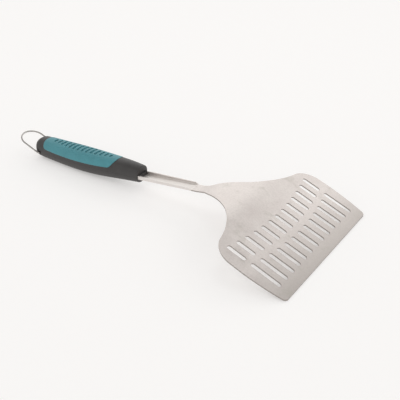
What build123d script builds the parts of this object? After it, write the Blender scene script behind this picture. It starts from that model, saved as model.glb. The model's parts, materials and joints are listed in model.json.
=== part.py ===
from build123d import *
import os
from math import cos, pi, radians, sin, tan

os.makedirs("parts", exist_ok=True)

# A long-handled grill spatula lying on a table, in millimetres.
# +X runs along the tool to the leading edge of the blade, +Y is across it, +Z is up.
# The origin is on the table under the middle of the tool. Places along the tool are
# given as "back": the distance behind the leading edge.

# ---- driving dimensions: whole tool ----
LENGTH = 453.0  # leading edge to the far end of the hanging loop
LEAD_X = LENGTH / 2
FIT_GAP = 0.1  # play around the tang and the screws in the moulded shells
CLEAR = 60.0  # how far cutters reach past what they cut

# ---- blade: one piece of stamped sheet ----
SHEET = 1.5
LEAD_HALF = 96.3  # half the width of the leading edge
SIDE_MID = (33.0, 101.0)  # (back, half width) where the side bulges
SHOULDER = (62.0, 101.4)  # where the side turns into the shoulder
SHOULDER_R = 24.5
SHOULDER_TURN = 80.0
FLARE = [(96.2, 53.2), (110.0, 34.8), (132.0, 20.6), (148.0, 13.0)]  # from shoulder to neck
NECK = (166.0, 7.7)
LEAD_CORNER_R = 5.0
EDGE_BEVEL = 0.7  # how far the ground bevel of the leading edge goes down
BEVEL_SLANT = 2.5  # run of the bevel for each millimetre of its depth
BEVEL_OVERLAP = 0.1

# side view of the sheet, from the leading edge backwards
RAMP_ANGLE = 20.8
RAMP_RUN = 87.0  # horizontal length of the flat, slotted part
CREST_FRONT_R = 62.0
CREST_FLAT = 11.2
CREST_REAR_R = 90.0
CREST_FALL = 22.6  # steepest angle behind the crest
HEEL_R = 45.0
SHANK_ANGLE = 7.0  # the shank falls this much towards the handle

# slots: two rows, their ends on arcs that bulge towards the leading edge
SLOT_COUNT = 13
SLOT_PITCH = 14.0
SLOT_WIDTH = 5.6
SLOT_ARC_R = 360.0
FRONT_ROW = (14.0, 41.3)  # (front end, back end) of the middle slot, along the sheet
BACK_ROW = (48.0, 71.7)

# shank and tang: the sheet folded up into a channel
CHANNEL_HALF = 8.8
CHANNEL_BEND_R = 2.0  # outside radius of the fold
CHANNEL_HIGH = 5.5  # outside height in the handle
CHANNEL_LOW = 3.8  # outside height at the front end
CHANNEL_FRONT = 173.7  # back
FLANGE_RISE = 3.0  # length over which the flanges rise from the sheet
ROOT = 3.0  # how far the flat sheet runs on under the channel
TANG_END = 345.0  # back

# ---- handle ----
HANDLE_FRONT = 251.0
# (back, half width, half height, height of the middle above the table)
HANDLE_STATIONS = [
    (251.0, 10.4, 10.4, 21.5),
    (275.0, 12.6, 12.4, 20.4),
    (307.0, 15.0, 14.1, 17.7),
    (343.0, 16.1, 15.0, 15.4),
    (377.0, 15.5, 14.3, 14.39),
    (401.0, 14.5, 13.5, 14.0),
    (423.5, 13.1, 12.2, 13.9),
]
SECTION_POWER = 2.4  # between an ellipse (2) and a rounded rectangle
SECTION_POINTS = 8
BUTT_R = 7.5
MOUTH_R = 1.2
HOLLOW_INSET = 3.7  # the wall, which is thinner under the pad
FRONT_WALL = 9.0
REAR_WALL = 16.0
RIB_BACKS = [290.0, 312.0, 345.0, 372.0]
RIB_THICK = 3.0
# the shells part along a straight slope, through the shank and the loop's pivot
PARTING = [(251.0, 20.4), (414.0, 10.4)]
# a tongue of the upper shell fills the channel and shows in front of the mouth
TONGUE_OUT = 2.4
TONGUE_ROOT = 4.0
TONGUE_OVER = 0.8  # how far it stands above the flanges
MOUTH_SPARE = 3.0  # how far the room for the tang is cut in front of the mouth

# ---- soft grip pad on top of the handle ----
PAD_DEPTH = 2.2
PAD_PROUD = 0.35
PAD_REAR_FOOT = (404.4, 18.0)
PAD_REAR_TOP = (409.5, 30.0)
PAD_SAG = (362.0, 17.5)  # lowest part of the lower edge
PAD_FRONT_FOOT = (293.4, 23.1)
PAD_FRONT_TOP = (284.6, 35.0)
PAD_REAR_CORNER_R = 5.0
PAD_FRONT_CORNER_R = 8.0
GROOVE_COUNT = 14
GROOVE_SPAN = (393.2, 299.8)  # back of the first and the last groove
GROOVE_WIDTH = 3.1
GROOVE_DEPTH = 1.7
GROOVE_HALF_MAX = 7.8
GROOVE_LENS = (0.45, 2.3)  # phase and sweep of the sine that shortens the end grooves
PAD_GAP = 0.1
PEG_BACKS = [301.0, 320.0, 358.0, 383.0]
PEG_R = 2.0
PEG_LENGTH = 3.6
PEG_BURIED = 0.6  # how far a peg reaches into the pad

# ---- screws that close the handle ----
SCREW_BACKS = [275.0, 331.0, 398.0]
SCREW_R = 1.75
SCREW_LENGTH = 15.0
SCREW_TIP = 2.5  # length of the cone
SCREW_POINT_R = 0.4
SCREW_HOLE_SPARE = 0.5  # depth of the hole past the tip
HEAD_R = 3.3
HEAD_HIGH = 2.3
HEAD_ROUND = 1.0
HEAD_SUNK = 3.2  # from the handle's underside up to the seat of the head
BOSS_R = 4.6
TANG_HOLE_R = 2.3
DRIVE_WIDTH = 0.9
DRIVE_LENGTH = 3.8
DRIVE_DEPTH = 1.3

# ---- hanging loop ----
LOOP_WIRE_R = 1.1
PIVOT = (414.0, 10.4)  # (back, height)
PIVOT_CLEARANCE = 0.05
LOOP_HALF = 15.7  # half the distance between the legs
LOOP_TILT = 20.0  # how far the loop stands up from level
LOOP_BEND_R = 1.6
PIVOT_END = 7.6  # how near to the middle plane the bent-in ends reach
BORE_END = 7.2
DIMPLE_R = 2.9  # round hollow in the handle around each bore
DIMPLE_FLOOR = 12.0  # distance of its floor from the middle plane


def at(back, height=0.0):
    """A point of the side view, as (x, z)."""
    return (LEAD_X - back, height)


def side_face(wires):
    """A closed side-view outline as a face in the XZ plane."""
    return Plane.XZ * make_face(wires)


# ---------------------------------------------------------------- blade


def sheet_line():
    """The underside of the sheet in side view, from the leading edge to the shank."""
    ramp = PolarLine(at(0), RAMP_RUN / cos(radians(RAMP_ANGLE)), 180 - RAMP_ANGLE)
    crest_front = JernArc(ramp @ 1, ramp % 1, CREST_FRONT_R, RAMP_ANGLE)
    crest_top = PolarLine(crest_front @ 1, CREST_FLAT, 180)
    crest_rear = JernArc(crest_top @ 1, crest_top % 1, CREST_REAR_R, CREST_FALL)
    heel = JernArc(crest_rear @ 1, crest_rear % 1, HEEL_R, SHANK_ANGLE - CREST_FALL)
    root = LEAD_X - (CHANNEL_FRONT + ROOT)
    shank_run = ((heel @ 1).X - root) / cos(radians(SHANK_ANGLE))
    shank = PolarLine(heel @ 1, shank_run, 180 + SHANK_ANGLE)
    return [ramp, crest_front, crest_top, crest_rear, heel, shank]


SHEET_LINE = sheet_line()
SHANK_START = SHEET_LINE[4] @ 1  # where the straight shank leaves the heel, as (x, z)


def shank_height(back):
    """Height of the shank's underside."""
    return SHANK_START.Y - (SHANK_START.X - (LEAD_X - back)) * tan(radians(SHANK_ANGLE))


def sheet_band():
    """The bent sheet, as wide as the widest part of the blade."""
    underside = Wire(SHEET_LINE)
    band = offset(underside, amount=SHEET, side=Side.RIGHT)
    return extrude(side_face(band.edges()), 2 * LEAD_HALF, both=True)


def plan_outline():
    """The blade seen from above: straight leading edge, bulged sides, bell-shaped flare."""

    def p(back, half):
        return (LEAD_X - back, half)

    side = ThreePointArc(p(0, LEAD_HALF), p(*SIDE_MID), p(*SHOULDER))
    shoulder = JernArc(side @ 1, (-1, 0), SHOULDER_R, SHOULDER_TURN)
    flare = Spline(
        [shoulder @ 1] + [p(*point) for point in FLARE] + [p(*NECK)],
        tangents=[shoulder % 1, (-1, 0)],
    )
    neck = Line(flare @ 1, p(CHANNEL_FRONT + ROOT, NECK[1]))
    half = [side, shoulder, flare, neck]
    other = [mirror(edge, about=Plane.XZ) for edge in half]
    lead = Line(side @ 0, p(0, -LEAD_HALF))
    end = Line(neck @ 1, p(CHANNEL_FRONT + ROOT, -NECK[1]))
    return make_face(half + other + [lead, end])


def rising_plane(x, z, degrees):
    """At a point of the middle plane, its X rising by an angle towards the handle's end."""
    rise = radians(degrees)
    return Plane(origin=(x, 0, z), x_dir=(-cos(rise), 0, sin(rise)), z_dir=(sin(rise), 0, cos(rise)))


RAMP_PLANE = rising_plane(LEAD_X, 0, RAMP_ANGLE)


def slots():
    """Cutters for both rows; the outer slots reach farther back than the middle one."""
    cutters = []
    for index in range(SLOT_COUNT):
        across = (index - (SLOT_COUNT - 1) / 2) * SLOT_PITCH
        bow = across**2 / (2 * SLOT_ARC_R)
        ends = [(FRONT_ROW[0], FRONT_ROW[1] + bow), (BACK_ROW[0] + bow, BACK_ROW[1] + bow)]
        for front, back in ends:
            slot = Pos((front + back) / 2, across) * SlotOverall(back - front, SLOT_WIDTH)
            cutters.append(extrude(RAMP_PLANE * slot, 4 * SHEET, both=True))
    return cutters


def shank_plane():
    """At the tang's end, X across, Y up, and Z along the shank towards the blade."""
    slope = radians(SHANK_ANGLE)
    x, z = at(TANG_END, shank_height(TANG_END))
    return Plane(origin=(x, 0, z), x_dir=(0, 1, 0), z_dir=(cos(slope), 0, sin(slope)))


def channel_section(grow=0.0):
    """The folded sheet across the shank. grow makes it thicker all round."""
    half = CHANNEL_HALF + grow
    inner = CHANNEL_HALF - SHEET - grow
    high = CHANNEL_HIGH + grow
    outside = Pos(0, (high - grow) / 2) * Rectangle(2 * half, high + grow)
    outside = fillet(outside.vertices().group_by(Axis.Y)[0], CHANNEL_BEND_R + grow)
    inside = Pos(0, SHEET + grow + high / 2) * Rectangle(2 * inner, high)
    inside = fillet(inside.vertices().group_by(Axis.Y)[0], CHANNEL_BEND_R - SHEET)
    return outside - inside


def channel():
    """Shank and tang. The flanges rise from the sheet and get higher towards the handle."""
    run = (TANG_END - CHANNEL_FRONT) / cos(radians(SHANK_ANGLE))
    body = extrude(shank_plane() * channel_section(), run)
    risen = CHANNEL_FRONT + FLANGE_RISE
    ahead = CHANNEL_FRONT - FLANGE_RISE
    shave = Polyline(
        at(ahead, shank_height(ahead) + SHEET),
        at(CHANNEL_FRONT, shank_height(CHANNEL_FRONT) + SHEET),
        at(risen, shank_height(risen) + CHANNEL_LOW),
        at(HANDLE_FRONT, shank_height(HANDLE_FRONT) + CHANNEL_HIGH),
        at(HANDLE_FRONT, CLEAR),
        at(ahead, CLEAR),
        close=True,
    )
    body -= extrude(side_face(shave), 2 * CHANNEL_HALF, both=True)
    for back in SCREW_BACKS[:2]:
        body -= Pos(*screw_seat(back)) * Cylinder(TANG_HOLE_R, CLEAR)
    return body


def blade():
    """Head, neck, shank and tang in one sheet."""
    plan = fillet(plan_outline().vertices().group_by(Axis.X)[-1], LEAD_CORNER_R)
    body = sheet_band() & extrude(plan, CLEAR, both=True)
    for cutter in slots():
        body -= cutter
    above = SHEET + BEVEL_OVERLAP
    bevel = Polyline(
        (-BEVEL_OVERLAP, SHEET - EDGE_BEVEL),
        (EDGE_BEVEL * BEVEL_SLANT, above),
        (-BEVEL_OVERLAP, above),
        close=True,
    )
    side_view = Plane(origin=RAMP_PLANE.origin, x_dir=RAMP_PLANE.x_dir, z_dir=(0, -1, 0))
    body -= extrude(side_view * make_face(bevel), 2 * LEAD_HALF, both=True)
    return body + channel()


# ---------------------------------------------------------------- handle


def section(back, half_width, half_height, middle):
    """A closed superellipse across the handle."""
    points = []
    for index in range(SECTION_POINTS):
        angle = 2 * pi * index / SECTION_POINTS
        c, s = cos(angle), sin(angle)
        reach = (abs(c) ** SECTION_POWER + abs(s) ** SECTION_POWER) ** (-1 / SECTION_POWER)
        points.append((LEAD_X - back, half_width * reach * c, middle + half_height * reach * s))
    return Face(Wire(Spline(points, periodic=True)))


def handle_blank(grow=0.0):
    """The handle's outer form with square ends, made larger or smaller by grow."""
    return loft([section(back, w + grow, h + grow, m) for back, w, h, m in HANDLE_STATIONS])


def rounded_handle(grow=0.0):
    """The outer form with its rounded butt and eased front rim."""
    body = handle_blank(grow)
    body = fillet(body.edges().sort_by(Axis.X)[0], BUTT_R)
    return fillet(body.edges().sort_by(Axis.X)[-1], MOUTH_R)


def height_between(back, pick):
    """A height at a place along the handle, from the stations on either side of it."""
    for ahead, behind in zip(HANDLE_STATIONS, HANDLE_STATIONS[1:]):
        if ahead[0] <= back <= behind[0]:
            share = (back - ahead[0]) / (behind[0] - ahead[0])
            return pick(ahead) * (1 - share) + pick(behind) * share


def ridge_height(back):
    return height_between(back, lambda station: station[3] + station[2])


def belly_height(back):
    return height_between(back, lambda station: station[3] - station[2])


def upright(back, radius, low, high):
    """A vertical cylinder on the middle plane."""
    return Pos(LEAD_X - back, 0, (low + high) / 2) * Cylinder(radius, high - low)


def cross_slab(front, rear):
    """Everything between two places along the handle."""
    return Pos(LEAD_X - (front + rear) / 2, 0, 0) * Box(rear - front, 2 * CLEAR, 2 * CLEAR)


def handle_hollow():
    """The space inside the closed handle, less its screw bosses and the ribs that hold the tang."""
    rear = HANDLE_STATIONS[-1][0] - REAR_WALL
    hollow = handle_blank(-HOLLOW_INSET) & cross_slab(HANDLE_FRONT + FRONT_WALL, rear)
    for back in SCREW_BACKS:
        hollow -= upright(back, BOSS_R, 0, CLEAR)
    for back in RIB_BACKS:
        hollow -= cross_slab(back - RIB_THICK / 2, back + RIB_THICK / 2)
    return hollow


TANG_RUN = (TANG_END - HANDLE_FRONT + MOUTH_SPARE) / cos(radians(SHANK_ANGLE))


def tang_space():
    """The room that the tang takes in the shells."""
    plane = shank_plane()
    start = Plane(origin=plane.origin - plane.z_dir * FIT_GAP, x_dir=plane.x_dir, z_dir=plane.z_dir)
    return extrude(start * channel_section(FIT_GAP), TANG_RUN)


def inside_channel(high):
    """The space between the tang's flanges, up to a height over the tang's underside."""
    width = 2 * (CHANNEL_HALF - SHEET - FIT_GAP)
    floor = SHEET + FIT_GAP
    return extrude(shank_plane() * Pos(0, (floor + high) / 2) * Rectangle(width, high - floor), TANG_RUN)


def tongue():
    """The part of the upper shell that lies in the channel at the mouth."""
    reach = cross_slab(HANDLE_FRONT - TONGUE_OUT, HANDLE_FRONT + TONGUE_ROOT)
    return (inside_channel(CHANNEL_HIGH + TONGUE_OVER) & reach) - tang_space()


def lower_side():
    """Everything under the sloping plane where the shells meet, but outside the channel."""
    (b0, z0), (b1, z1) = PARTING
    slope = (z0 - z1) / (b1 - b0)
    front, rear = HANDLE_FRONT - CLEAR, HANDLE_STATIONS[-1][0] + CLEAR
    outline = Polyline(
        at(front, z0 + slope * (b0 - front)),
        at(rear, z0 + slope * (b0 - rear)),
        at(rear, -CLEAR),
        at(front, -CLEAR),
        close=True,
    )
    return extrude(side_face(outline), CLEAR, both=True) - inside_channel(CLEAR)


def loop_bores():
    """On both sides, the blind hole that the loop's end turns in and the dimple around it."""
    x, z = at(*PIVOT)
    cutters = []
    for radius, floor in ((LOOP_WIRE_R + PIVOT_CLEARANCE, BORE_END), (DIMPLE_R, DIMPLE_FLOOR)):
        hole = Rot(90, 0, 0) * Cylinder(radius, CLEAR)
        cutters += [Pos(x, side * (floor + CLEAR / 2), z) * hole for side in (-1, 1)]
    return cutters


def moulded_handle(outer):
    """Both shells together, before they are parted and before the pad's recess is cut."""
    body = outer - handle_hollow() - tang_space()
    for back in SCREW_BACKS:
        seat = screw_seat(back)[2]
        tip = seat + SCREW_LENGTH + SCREW_HOLE_SPARE
        body -= upright(back, HEAD_R + FIT_GAP, -CLEAR, seat)
        body -= upright(back, SCREW_R + FIT_GAP / 2, 0, tip)
    for bore in loop_bores():
        body -= bore
    return body


# ---------------------------------------------------------------- grip pad


def pad_region(shrink=0.0):
    """Everything over the pad's outline in side view."""
    lower = ThreePointArc(at(*PAD_REAR_FOOT), at(*PAD_SAG), at(*PAD_FRONT_FOOT))
    outline = [
        lower,
        Line(at(*PAD_FRONT_FOOT), at(*PAD_FRONT_TOP)),
        Line(at(*PAD_FRONT_TOP), at(PAD_FRONT_TOP[0], CLEAR)),
        Line(at(PAD_FRONT_TOP[0], CLEAR), at(PAD_REAR_TOP[0], CLEAR)),
        Line(at(PAD_REAR_TOP[0], CLEAR), at(*PAD_REAR_TOP)),
        Line(at(*PAD_REAR_TOP), at(*PAD_REAR_FOOT)),
    ]
    face = make_face(outline)
    rear_foot, front_foot = face.vertices().sort_by(Axis.Y)[:2].sort_by(Axis.X)
    face = fillet(rear_foot, PAD_REAR_CORNER_R)
    front_foot = face.vertices().sort_by_distance(front_foot)[0]
    face = fillet(front_foot, PAD_FRONT_CORNER_R)
    if shrink:
        face = offset(face, amount=-shrink)
    return extrude(Plane.XZ * face, CLEAR, both=True)


def pegs(radius):
    """The pegs that key the pad into the upper shell's wall."""
    cylinders = []
    for back in PEG_BACKS:
        top = ridge_height(back) - PAD_DEPTH + PEG_BURIED
        cylinders.append(upright(back, radius, top - PEG_LENGTH, top))
    return cylinders


def pad_recess(outer):
    """The part of the upper shell that the pad takes the place of."""
    return (outer & pad_region()) - handle_blank(-PAD_DEPTH)


def grooves():
    """Round-ended grooves across the ridge, all of one depth."""
    first, last = GROOVE_SPAN
    slots_above = []
    for index in range(GROOVE_COUNT):
        share = index / (GROOVE_COUNT - 1)
        back = first + (last - first) * share
        half = GROOVE_HALF_MAX * sin(GROOVE_LENS[0] + GROOVE_LENS[1] * share)
        slot = Rot(0, 0, 90) * SlotOverall(2 * half, GROOVE_WIDTH)
        cutter = extrude(slot, GROOVE_HALF_MAX, both=True)
        slots_above.append(Pos(LEAD_X - back, 0, ridge_height(back)) * cutter)
    bottom = handle_blank(PAD_PROUD - GROOVE_DEPTH)
    return [slot - bottom for slot in slots_above]


def grip_pad():
    """The soft pad: a skin on the upper shell, keyed in by pegs and grooved across the top."""
    body = (rounded_handle(PAD_PROUD) & pad_region(PAD_GAP)) - handle_blank(PAD_GAP - PAD_DEPTH)
    for peg in pegs(PEG_R):
        body += peg
    for groove in grooves():
        body -= groove
    return body


# ---------------------------------------------------------------- screws and loop


def screw_seat(back):
    """Under the head of a screw, where the head and the shank meet."""
    x, z = at(back, belly_height(back) + HEAD_SUNK)
    return (x, 0, z)


def screws():
    """Three identical pan-head screws, pointing up."""
    parts = []
    for back in SCREW_BACKS:
        straight = SCREW_LENGTH - SCREW_TIP
        shank = Pos(0, 0, straight / 2) * Cylinder(SCREW_R, straight)
        tip = Pos(0, 0, straight + SCREW_TIP / 2) * Cone(SCREW_R, SCREW_POINT_R, SCREW_TIP)
        head = Pos(0, 0, -HEAD_HIGH / 2) * Cylinder(HEAD_R, HEAD_HIGH)
        head = fillet(head.edges().sort_by(Axis.Z)[0], HEAD_ROUND)
        body = head + shank + tip
        for turn in (0, 90):
            drive = Rot(0, 0, turn) * Box(DRIVE_LENGTH, DRIVE_WIDTH, 2 * DRIVE_DEPTH)
            body -= Pos(0, 0, -HEAD_HIGH) * drive
        parts.append(Pos(*screw_seat(back)) * body)
    return Compound(children=parts)


def hanging_loop():
    """The wire: bent-in end, leg, half-circle bow, leg, bent-in end."""
    x, z = at(*PIVOT)
    plane = rising_plane(x, z, LOOP_TILT)
    reach = (x - (LOOP_WIRE_R - LEAD_X)) / cos(radians(LOOP_TILT))  # pivot to the bow's end
    turn = LOOP_HALF - LOOP_BEND_R
    straight = reach - LOOP_HALF
    end = Line((0, PIVOT_END), (0, turn))
    bend = JernArc(end @ 1, (0, 1), LOOP_BEND_R, -90)
    leg = Line(bend @ 1, (straight, LOOP_HALF))
    bow = ThreePointArc(leg @ 1, (reach, 0), (straight, -LOOP_HALF))
    near_side = [edge.edge() for edge in (end, bend, leg)]
    far_side = [mirror(edge, about=Plane.XZ).edge() for edge in (leg, bend, end)]
    path = plane * Wire(near_side + [bow.edge()] + far_side)
    start = Plane(origin=path @ 0, z_dir=path % 0)
    return sweep(start * Circle(LOOP_WIRE_R), path=path)


# ---------------------------------------------------------------- assembly


def main():
    outer = rounded_handle()
    handle = moulded_handle(outer)
    below = lower_side()
    upper = handle - below + tongue() - pad_recess(outer)
    for hole in pegs(PEG_R + PAD_GAP / 2):
        upper -= hole
    parts = {
        "blade": blade(),
        "handle_upper_shell": upper,
        "handle_lower_shell": handle & below,
        "grip_pad": grip_pad(),
        "handle_screws": screws(),
        "hanging_loop": hanging_loop(),
    }
    for name, shape in parts.items():
        export_step(shape, f"parts/{name}.step")


main()
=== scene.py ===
import json
import math

import bpy
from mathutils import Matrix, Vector

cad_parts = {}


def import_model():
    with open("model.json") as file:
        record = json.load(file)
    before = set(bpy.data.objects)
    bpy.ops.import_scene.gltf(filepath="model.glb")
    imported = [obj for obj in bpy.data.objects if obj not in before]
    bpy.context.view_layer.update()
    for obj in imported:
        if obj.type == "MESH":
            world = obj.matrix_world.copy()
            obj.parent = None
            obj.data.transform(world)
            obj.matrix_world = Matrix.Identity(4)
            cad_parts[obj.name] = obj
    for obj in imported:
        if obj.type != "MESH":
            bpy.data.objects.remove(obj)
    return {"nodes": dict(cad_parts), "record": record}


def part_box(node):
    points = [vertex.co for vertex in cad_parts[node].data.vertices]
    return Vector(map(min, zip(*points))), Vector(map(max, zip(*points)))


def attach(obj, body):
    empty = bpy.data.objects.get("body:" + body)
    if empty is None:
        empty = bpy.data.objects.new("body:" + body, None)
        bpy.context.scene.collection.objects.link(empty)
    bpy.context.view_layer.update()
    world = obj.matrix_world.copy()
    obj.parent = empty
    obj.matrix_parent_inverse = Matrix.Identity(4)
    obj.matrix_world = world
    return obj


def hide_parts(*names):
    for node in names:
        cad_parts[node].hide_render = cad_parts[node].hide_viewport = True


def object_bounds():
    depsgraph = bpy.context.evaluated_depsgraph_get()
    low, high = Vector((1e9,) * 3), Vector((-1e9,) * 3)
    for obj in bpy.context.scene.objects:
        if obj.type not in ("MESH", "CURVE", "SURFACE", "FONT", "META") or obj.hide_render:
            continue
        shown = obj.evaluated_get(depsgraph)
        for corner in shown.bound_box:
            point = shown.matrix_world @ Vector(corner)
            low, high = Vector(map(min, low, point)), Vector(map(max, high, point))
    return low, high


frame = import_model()

# A grill spatula lying on a pale floor. Everything is in metres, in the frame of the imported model:
# +X runs from the handle to the blade's leading edge, +Y is across the tool, +Z is up.

CAD_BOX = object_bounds()
NODES = frame["nodes"]
SCENE = bpy.context.scene
MM = 0.001

# ---- camera ----
VIEW_AZIMUTH = 34.0  # degrees, from straight across the tool towards the blade
VIEW_ELEVATION = 30.85  # degrees above the floor
VIEW_DISTANCE = 0.8506  # from the camera to the point it is aimed at
AIM_ALONG = 0.0488  # that point on the floor, from the middle of the tool
AIM_ACROSS = 0.0176
LENS = 63.44  # millimetres, as is the sensor's width
SENSOR = 36.0
NEAR_CLIP = 0.01

# ---- light ----
KEY_DIRECTION = (0.05, 0.22, 0.97)
KEY_DISTANCE = 1.7
KEY_SIZE = 0.9
KEY_POWER = 2.2
FLOOR_HALF = 6.0
# the floor's glow is painted light that keeps its shadows pale
FLOOR_PAINTED_LIGHT = 0.53
SHELTERED_PAINTED_LIGHT = 0.34  # the same, close under the blade, where the glow is dimmed as painted shade
PAINTED_SHADE_REACH = 60 * MM  # how near the blade has to be to dim the floor's glow as painted shade
SHELTERED_BELOW = 0.15  # share of open sky where the floor counts as fully sheltered
OPEN_ABOVE = 0.42  # and where it counts as open
FAR_SIDE = (-0.30, 0.95, 0.0)  # the tent is brighter on this side
FAR_WALL_LEVEL = 1.52
NEAR_WALL_LEVEL = 0.90
# brightness of the tent against height: 0 and below is the horizon, 1 is straight up
TENT_WALLS = [(0.0, 0.72), (0.35, 0.84), (0.50, 0.97), (0.60, 1.0)]
TENT_CEILING = [(0.65, 0.74), (0.71, 0.36), (1.0, 0.36)]
TENT_TINT = (1.0, 0.995, 0.985)

# ---- wear, painted shade and a painted highlight ----
FRONT_SHADE_BAND = 45 * MM  # how far back from the leading edge the sheet is darkened with painted shade
FRONT_SHADE_SHARE = 0.8  # how much of the colour that painted shade takes away at the edge itself
DULL_ROUGHNESS = 0.15  # added where the sheet is blasted or sheared
RUBBED_HIGHLIGHT_SHARE = 0.45  # how far the pad's edges are made pale, partly rubbed and partly a painted highlight
SEAM_HALF_WIDTH = 0.22 * MM
GROOVE_REACH = 2.6 * MM  # how near a groove's walls have to be to darken it with painted shade

# ---- slope of a face, as the upward part of its normal ----
UPRIGHT_BELOW = 0.45
FLAT_ABOVE = 0.80

# ---- soft parts ----
PAD_VOXEL = 0.32 * MM
PAD_SMOOTHING = 6
PAD_SMOOTHING_SHARE = 0.5


# ---------------------------------------------------------------- shader helpers


class Shader:
    """A material's node tree while it is being written."""

    def __init__(self, name):
        self.material = bpy.data.materials.new(name)
        self.material.use_nodes = True
        self.tree = self.material.node_tree
        self.tree.nodes.clear()
        self.place = self.add("ShaderNodeTexCoord").outputs["Object"]

    def add(self, kind, inputs=None, **settings):
        """A node with its settings made and its inputs either set or linked."""
        node = self.tree.nodes.new(kind)
        for key, value in settings.items():
            setattr(node, key, value)
        for key, value in (inputs or {}).items():
            if isinstance(value, bpy.types.NodeSocket):
                self.tree.links.new(value, node.inputs[key])
            else:
                node.inputs[key].default_value = value
        return node

    def stretched(self, scale):
        """Object coordinates scaled along each axis, in cycles per metre."""
        return self.add("ShaderNodeMapping", {"Vector": self.place, "Scale": scale}).outputs["Vector"]

    def noise(self, scale, detail=3.0, roughness=0.5):
        """Noise from 0 to 1. scale, in cycles per metre, is one number, or three to draw it out."""
        axes = scale if isinstance(scale, tuple) else (scale, scale, scale)
        inputs = {"Vector": self.stretched(axes), "Scale": 1.0, "Detail": detail, "Roughness": roughness}
        return self.add("ShaderNodeTexNoise", inputs).outputs["Fac"]

    def remap(self, value, low, high, start=0.3, stop=0.7):
        """value between start and stop becomes low to high."""
        inputs = {"Value": value, "From Min": start, "From Max": stop, "To Min": low, "To Max": high}
        return self.add("ShaderNodeMapRange", inputs).outputs["Result"]

    def math(self, operation, first, second):
        return self.add("ShaderNodeMath", {0: first, 1: second}, operation=operation).outputs["Value"]

    def mix(self, share, first, second):
        """Two colours, mixed by a share from 0 to 1."""
        node = self.add("ShaderNodeMix", data_type="RGBA")
        for socket, value in ((0, share), (6, first), (7, second)):
            if isinstance(value, bpy.types.NodeSocket):
                self.tree.links.new(value, node.inputs[socket])
            else:
                node.inputs[socket].default_value = value
        return node.outputs[2]

    def edge_mask(self, radius, gain):
        """Near 1 along edges sharper than the radius, 0 on open faces."""
        rounded = self.add("ShaderNodeBevel", {"Radius": radius}, samples=4).outputs["Normal"]
        flat = self.add("ShaderNodeNewGeometry").outputs["Normal"]
        dot = self.add("ShaderNodeVectorMath", {0: rounded, 1: flat}, operation="DOT_PRODUCT")
        bend = self.math("SUBTRACT", 1.0, dot.outputs["Value"])
        gained = self.add("ShaderNodeMath", {0: bend, 1: gain}, operation="MULTIPLY", use_clamp=True)
        return gained.outputs["Value"]

    def steep_mask(self):
        """1 on faces that stand upright, 0 on faces that lie flat."""
        normal = self.add("ShaderNodeNewGeometry").outputs["True Normal"]
        up = self.add("ShaderNodeSeparateXYZ", {0: normal}).outputs["Z"]
        return self.remap(self.math("ABSOLUTE", up, 0.0), 1.0, 0.0, UPRIGHT_BELOW, FLAT_ABOVE)

    def line_mask(self, origin, normal, half_width):
        """1 where a plane cuts the surface, 0 a half width away from it."""
        from_origin = self.add("ShaderNodeVectorMath", {0: self.place, 1: origin}, operation="SUBTRACT")
        away = {0: from_origin.outputs["Vector"], 1: normal}
        distance = self.add("ShaderNodeVectorMath", away, operation="DOT_PRODUCT").outputs["Value"]
        return self.remap(self.math("ABSOLUTE", distance, 0.0), 1.0, 0.0, 0.5 * half_width, half_width)

    def bump(self, height, depth):
        inputs = {"Height": height, "Distance": depth, "Strength": 1.0}
        return self.add("ShaderNodeBump", inputs).outputs["Normal"]

    def finish(self, **inputs):
        """The surface itself. Keyword names are the shader's inputs, with _ for a space."""
        named = {key.replace("_", " "): value for key, value in inputs.items()}
        surface = self.add("ShaderNodeBsdfPrincipled", named)
        output = self.add("ShaderNodeOutputMaterial")
        self.tree.links.new(surface.outputs["BSDF"], output.inputs["Surface"])
        return self.material


# ---------------------------------------------------------------- colours


def colour(red, green, blue):
    return (red, green, blue, 1.0)


SHEET_DEEP = colour(0.64, 0.585, 0.56)
SHEET_PALE = colour(0.755, 0.705, 0.675)
SHEET_MARK = colour(0.69, 0.645, 0.615)
# painted shade: the blade's front, darker towards the leading edge
SHEET_FRONT_SHADE = colour(0.46, 0.425, 0.40)
SHEET_SPOT = colour(0.44, 0.42, 0.37)
SHEET_SPECKLE = colour(0.36, 0.33, 0.31)
SHEET_BLASTED = colour(0.82, 0.78, 0.75)
# painted shade on the sheet's upright walls
SHEET_WALL_SHADE = colour(0.42, 0.385, 0.365)
PLASTIC_DEEP = colour(0.036, 0.033, 0.033)
PLASTIC_PALE = colour(0.052, 0.048, 0.047)
PLASTIC_RUBBED = colour(0.11, 0.105, 0.10)
PLASTIC_SEAM = colour(0.010, 0.009, 0.009)
RUBBER_DEEP = colour(0.060, 0.268, 0.312)
RUBBER_PALE = colour(0.074, 0.312, 0.362)
# painted shade in the pad's grooves
RUBBER_GROOVE_SHADE = colour(0.014, 0.115, 0.135)
# pale pad edges: partly rubbing, partly a painted highlight
RUBBER_RUBBED_HIGHLIGHT = colour(0.16, 0.45, 0.47)
WIRE_DEEP = colour(0.42, 0.40, 0.385)
WIRE_PALE = colour(0.54, 0.52, 0.50)
ZINC_DEEP = colour(0.38, 0.37, 0.34)
ZINC_PALE = colour(0.52, 0.51, 0.47)
ZINC_RUBBED = colour(0.70, 0.69, 0.66)
PAPER_DEEP = colour(0.50, 0.495, 0.49)
PAPER_PALE = colour(0.52, 0.515, 0.51)
# the colour of the floor's painted light
PAPER_PAINTED_LIGHT = colour(1.0, 0.982, 0.97)


# ---------------------------------------------------------------- materials


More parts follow.
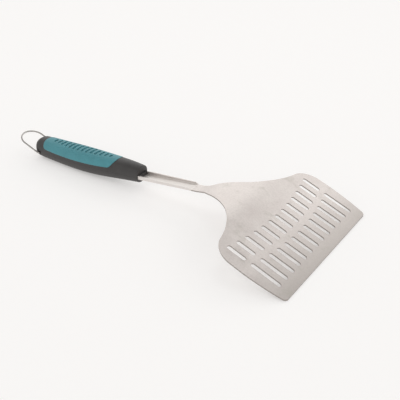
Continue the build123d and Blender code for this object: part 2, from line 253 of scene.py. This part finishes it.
def brushed_sheet():
    """Satin stainless sheet: brushed along the tool, spotted with use, a blasted shank, dull edges whose
    upright walls carry painted shade, and painted shade darkening the front towards the leading edge.
    """
    s = Shader("brushed_stainless")
    brushing = s.noise((25.0, 2600.0, 900.0), detail=4.0)
    long_marks = s.noise((6.0, 420.0, 160.0), detail=2.0)
    stains = s.noise(38.0, detail=5.0, roughness=0.6)
    low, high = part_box("blade")
    along_sheet = s.add("ShaderNodeSeparateXYZ", {0: s.place}).outputs["X"]
    head = s.math("GREATER_THAN", along_sheet, (low.x + high.x) / 2)
    # upright walls of the blade head: rougher because they are sheared, and darker with painted shade
    sheared_and_shaded = s.math("MULTIPLY", s.steep_mask(), head)
    clean = s.mix(s.remap(stains, 0.0, 1.0), SHEET_DEEP, SHEET_PALE)
    marked = s.mix(s.remap(long_marks, 0.0, 0.5), clean, SHEET_MARK)
    # painted shade, not wear, in the next two lines: the sheet darkens towards the leading edge, standing
    # in for its dimmer reflection there
    front_shade = s.remap(along_sheet, 0.0, FRONT_SHADE_SHARE, start=high.x - FRONT_SHADE_BAND, stop=high.x)
    worn = s.mix(front_shade, marked, SHEET_FRONT_SHADE)
    grease = s.noise(52.0, detail=6.0, roughness=0.65)
    spotted = s.mix(s.remap(grease, 0.0, 0.55, start=0.56, stop=0.74), worn, SHEET_SPOT)
    speckle = s.noise(520.0, detail=4.0)
    used = s.mix(s.remap(speckle, 0.0, 0.16, start=0.40, stop=0.66), spotted, SHEET_SPECKLE)
    faces = s.mix(head, SHEET_BLASTED, used)
    # painted shade on the upright walls
    tint = s.mix(sheared_and_shaded, faces, SHEET_WALL_SHADE)
    satin = s.math("ADD", s.remap(brushing, 0.32, 0.42), s.remap(stains, -0.03, 0.05))
    duller = s.math("MAXIMUM", sheared_and_shaded, s.math("SUBTRACT", 1.0, head))
    rough = s.math("ADD", satin, s.math("MULTIPLY", duller, DULL_ROUGHNESS))
    grain = s.bump(brushing, 0.004 * MM)
    along = s.add("ShaderNodeCombineXYZ", {"X": 1.0}).outputs["Vector"]
    return s.finish(
        Base_Color=tint,
        Metallic=1.0,
        Roughness=rough,
        Anisotropic=0.45,
        Tangent=along,
        Normal=grain,
    )


def parting():
    """A point of the plane where the handle's shells meet, and its normal."""
    pivot = Vector(frame["record"]["behaviour"]["joints"][0]["pos_m"])
    low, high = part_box("handle_lower_shell")
    mouth = Vector((high.x, 0.0, high.z))
    return tuple(pivot), tuple((mouth - pivot).cross(Vector((0.0, -1.0, 0.0))).normalized())


def moulded_plastic():
    """Charcoal plastic: fine moulded texture, paler rubbed edges, a dark line where the shells meet."""
    s = Shader("charcoal_plastic")
    texture = s.noise(2400.0, detail=3.0)
    cloud = s.noise(60.0, detail=4.0)
    edges = s.edge_mask(radius=0.8 * MM, gain=2.5)
    body = s.mix(s.remap(cloud, 0.0, 1.0), PLASTIC_DEEP, PLASTIC_PALE)
    worn = s.mix(s.math("MULTIPLY", edges, s.remap(cloud, 0.3, 1.0)), body, PLASTIC_RUBBED)
    seam = s.line_mask(*parting(), SEAM_HALF_WIDTH)
    tint = s.mix(seam, worn, PLASTIC_SEAM)
    rough = s.math("ADD", s.remap(texture, 0.40, 0.50), s.remap(cloud, -0.03, 0.05))
    return s.finish(Base_Color=tint, Roughness=rough, Normal=s.bump(texture, 0.03 * MM))


def soft_rubber():
    """Teal soft-touch rubber: matt, faintly mottled, darker in the grooves with painted shade, pale at the
    edges from rubbing and a painted highlight.
    """
    s = Shader("teal_rubber")
    texture = s.noise(3200.0, detail=3.0)
    cloud = s.noise(70.0, detail=5.0, roughness=0.6)
    shelter = s.add("ShaderNodeAmbientOcclusion", {"Distance": GROOVE_REACH}, samples=8).outputs["AO"]
    edges = s.edge_mask(radius=0.7 * MM, gain=2.5)
    body = s.mix(s.remap(cloud, 0.0, 1.0), RUBBER_DEEP, RUBBER_PALE)
    # painted shade: darker where the grooves' walls hide the sky
    groove_shaded = s.mix(s.remap(shelter, 1.0, 0.0, start=0.40, stop=0.90), body, RUBBER_GROOVE_SHADE)
    # pale edges: partly rubbing, partly a painted highlight
    tint = s.mix(s.math("MULTIPLY", edges, RUBBED_HIGHLIGHT_SHARE), groove_shaded, RUBBER_RUBBED_HIGHLIGHT)
    rough = s.math("ADD", s.remap(texture, 0.48, 0.58), s.remap(cloud, -0.03, 0.04))
    return s.finish(Base_Color=tint, Roughness=rough, Sheen_Weight=0.08, Normal=s.bump(texture, 0.02 * MM))


def plated_wire():
    """Bright plated wire with faint draw marks."""
    s = Shader("plated_wire")
    draw = s.noise((30.0, 1500.0, 1500.0), detail=2.0)
    cloud = s.noise(220.0, detail=3.0)
    tint = s.mix(s.remap(cloud, 0.0, 1.0), WIRE_DEEP, WIRE_PALE)
    rough = s.math("ADD", s.remap(draw, 0.14, 0.22), s.remap(cloud, -0.03, 0.05))
    return s.finish(Base_Color=tint, Metallic=1.0, Roughness=rough, Normal=s.bump(draw, 0.003 * MM))


def zinc_steel():
    """Zinc-plated screws: cloudy, slightly yellow, worn at the drive's edges."""
    s = Shader("zinc_plate")
    cloud = s.noise(900.0, detail=4.0)
    edges = s.edge_mask(radius=0.25 * MM, gain=3.0)
    body = s.mix(s.remap(cloud, 0.0, 1.0), ZINC_DEEP, ZINC_PALE)
    tint = s.mix(edges, body, ZINC_RUBBED)
    rough = s.remap(cloud, 0.28, 0.42)
    return s.finish(Base_Color=tint, Metallic=1.0, Roughness=rough, Normal=s.bump(cloud, 0.01 * MM))


def floor_painted_light():
    """Near-white paper. Its glow is painted light that keeps shadows pale, and it is weaker under the
    blade as painted shade.
    """
    s = Shader("floor_painted_light")
    fibre = s.noise(700.0, detail=3.0)
    tint = s.mix(s.remap(fibre, 0.0, 1.0), PAPER_DEEP, PAPER_PALE)
    shelter = s.add("ShaderNodeAmbientOcclusion", {"Distance": PAINTED_SHADE_REACH}, samples=8).outputs["AO"]
    grain = s.bump(fibre, 0.01 * MM)
    return s.finish(
        Base_Color=tint,
        Roughness=0.9,
        Normal=grain,
        Emission_Color=PAPER_PAINTED_LIGHT,
        # painted light, dimmed as painted shade where the blade is near
        Emission_Strength=s.remap(shelter, SHELTERED_PAINTED_LIGHT, FLOOR_PAINTED_LIGHT, SHELTERED_BELOW, OPEN_ABOVE),
    )


def paint(piece, material):
    """Gives every face of a piece the one material, through its slots."""
    if not piece.data.materials:
        piece.data.materials.append(material)
    for index in range(len(piece.data.materials)):
        piece.material_slots[index].link = "OBJECT"
        piece.material_slots[index].material = material


# ---------------------------------------------------------------- pieces


def soft_pad():
    """The grip pad as moulded rubber: the CAD skin with every edge and groove rounded over."""
    source = NODES["grip_pad"]
    piece = bpy.data.objects.new("soft_grip_pad", source.data.copy())
    SCENE.collection.objects.link(piece)
    skin = piece.modifiers.new("skin", "REMESH")
    skin.mode = "VOXEL"
    skin.voxel_size = PAD_VOXEL
    skin.use_smooth_shade = True
    soften = piece.modifiers.new("soften", "SMOOTH")
    soften.factor = PAD_SMOOTHING_SHARE
    soften.iterations = PAD_SMOOTHING
    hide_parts("grip_pad")
    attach(piece, "tool")
    return piece


# ---------------------------------------------------------------- stage, light and camera


def floor():
    """A large plain floor at the height of the object's lowest point."""
    mesh = bpy.data.meshes.new("floor")
    signs = [(-1, -1), (1, -1), (1, 1), (-1, 1)]
    level = CAD_BOX[0].z
    corners = [(x * FLOOR_HALF, y * FLOOR_HALF, level) for x, y in signs]
    mesh.from_pydata(corners, [], [(0, 1, 2, 3)])
    plane = bpy.data.objects.new("floor", mesh)
    SCENE.collection.objects.link(plane)
    paint(plane, floor_painted_light())


def world():
    """A studio tent: bright walls near the horizon, a dimmer ceiling."""
    sky = bpy.data.worlds.new("studio")
    SCENE.world = sky
    sky.use_nodes = True
    tree = sky.node_tree
    tree.nodes.clear()
    place = tree.nodes.new("ShaderNodeTexCoord")
    height = tree.nodes.new("ShaderNodeSeparateXYZ")
    ramp = tree.nodes.new("ShaderNodeValToRGB")
    far = tree.nodes.new("ShaderNodeVectorMath")
    far.operation = "DOT_PRODUCT"
    far.inputs[1].default_value = FAR_SIDE
    level_by_side = tree.nodes.new("ShaderNodeMapRange")
    level_by_side.inputs["From Min"].default_value = -1.0
    level_by_side.inputs["To Min"].default_value = NEAR_WALL_LEVEL
    level_by_side.inputs["To Max"].default_value = FAR_WALL_LEVEL
    background = tree.nodes.new("ShaderNodeBackground")
    output = tree.nodes.new("ShaderNodeOutputWorld")
    stops = ramp.color_ramp.elements
    given = len(stops)  # a new ramp has stops of its own, which are used first
    for index, (height_up, level) in enumerate(TENT_WALLS + TENT_CEILING):
        stop = stops[index] if index < given else stops.new(height_up)
        stop.position = height_up
        stop.color = colour(*(level * share for share in TENT_TINT))
    tree.links.new(place.outputs["Generated"], height.inputs[0])
    tree.links.new(place.outputs["Generated"], far.inputs[0])
    tree.links.new(far.outputs["Value"], level_by_side.inputs["Value"])
    tree.links.new(level_by_side.outputs["Result"], background.inputs["Strength"])
    tree.links.new(height.outputs["Z"], ramp.inputs["Fac"])
    tree.links.new(ramp.outputs["Color"], background.inputs["Color"])
    tree.links.new(background.outputs["Background"], output.inputs["Surface"])


def key_light():
    """One large soft light, high on the far side."""
    data = bpy.data.lights.new("key", "AREA")
    data.shape = "DISK"
    data.size = KEY_SIZE
    data.energy = KEY_POWER
    lamp = bpy.data.objects.new("key", data)
    SCENE.collection.objects.link(lamp)
    direction = Vector(KEY_DIRECTION).normalized()
    lamp.location = direction * KEY_DISTANCE
    lamp.rotation_mode = "QUATERNION"
    lamp.rotation_quaternion = direction.to_track_quat("Z", "Y")


def camera():
    """A camera over the near side of the blade, looking down along the tool."""
    data = bpy.data.cameras.new("camera")
    data.lens = LENS
    data.sensor_width = SENSOR
    data.clip_start = NEAR_CLIP
    view = bpy.data.objects.new("camera", data)
    SCENE.collection.objects.link(view)
    azimuth, elevation = math.radians(VIEW_AZIMUTH), math.radians(VIEW_ELEVATION)
    level = Vector((math.sin(azimuth), -math.cos(azimuth), 0.0))
    back = level * math.cos(elevation) + Vector((0.0, 0.0, math.sin(elevation)))
    low, high = CAD_BOX
    middle = (low + high) / 2
    aim = Vector((middle.x + AIM_ALONG, middle.y + AIM_ACROSS, low.z))
    view.location = aim + back * VIEW_DISTANCE
    view.rotation_mode = "QUATERNION"
    view.rotation_quaternion = back.to_track_quat("Z", "Y")
    SCENE.camera = view


# ---------------------------------------------------------------- scene

plastic = moulded_plastic()
paint(NODES["blade"], brushed_sheet())
paint(NODES["handle_upper_shell"], plastic)
paint(NODES["handle_lower_shell"], plastic)
paint(NODES["handle_screws"], zinc_steel())
paint(NODES["hanging_loop"], plated_wire())
paint(soft_pad(), soft_rubber())

floor()
world()
key_light()
camera()
SCENE.view_settings.view_transform = "Standard"
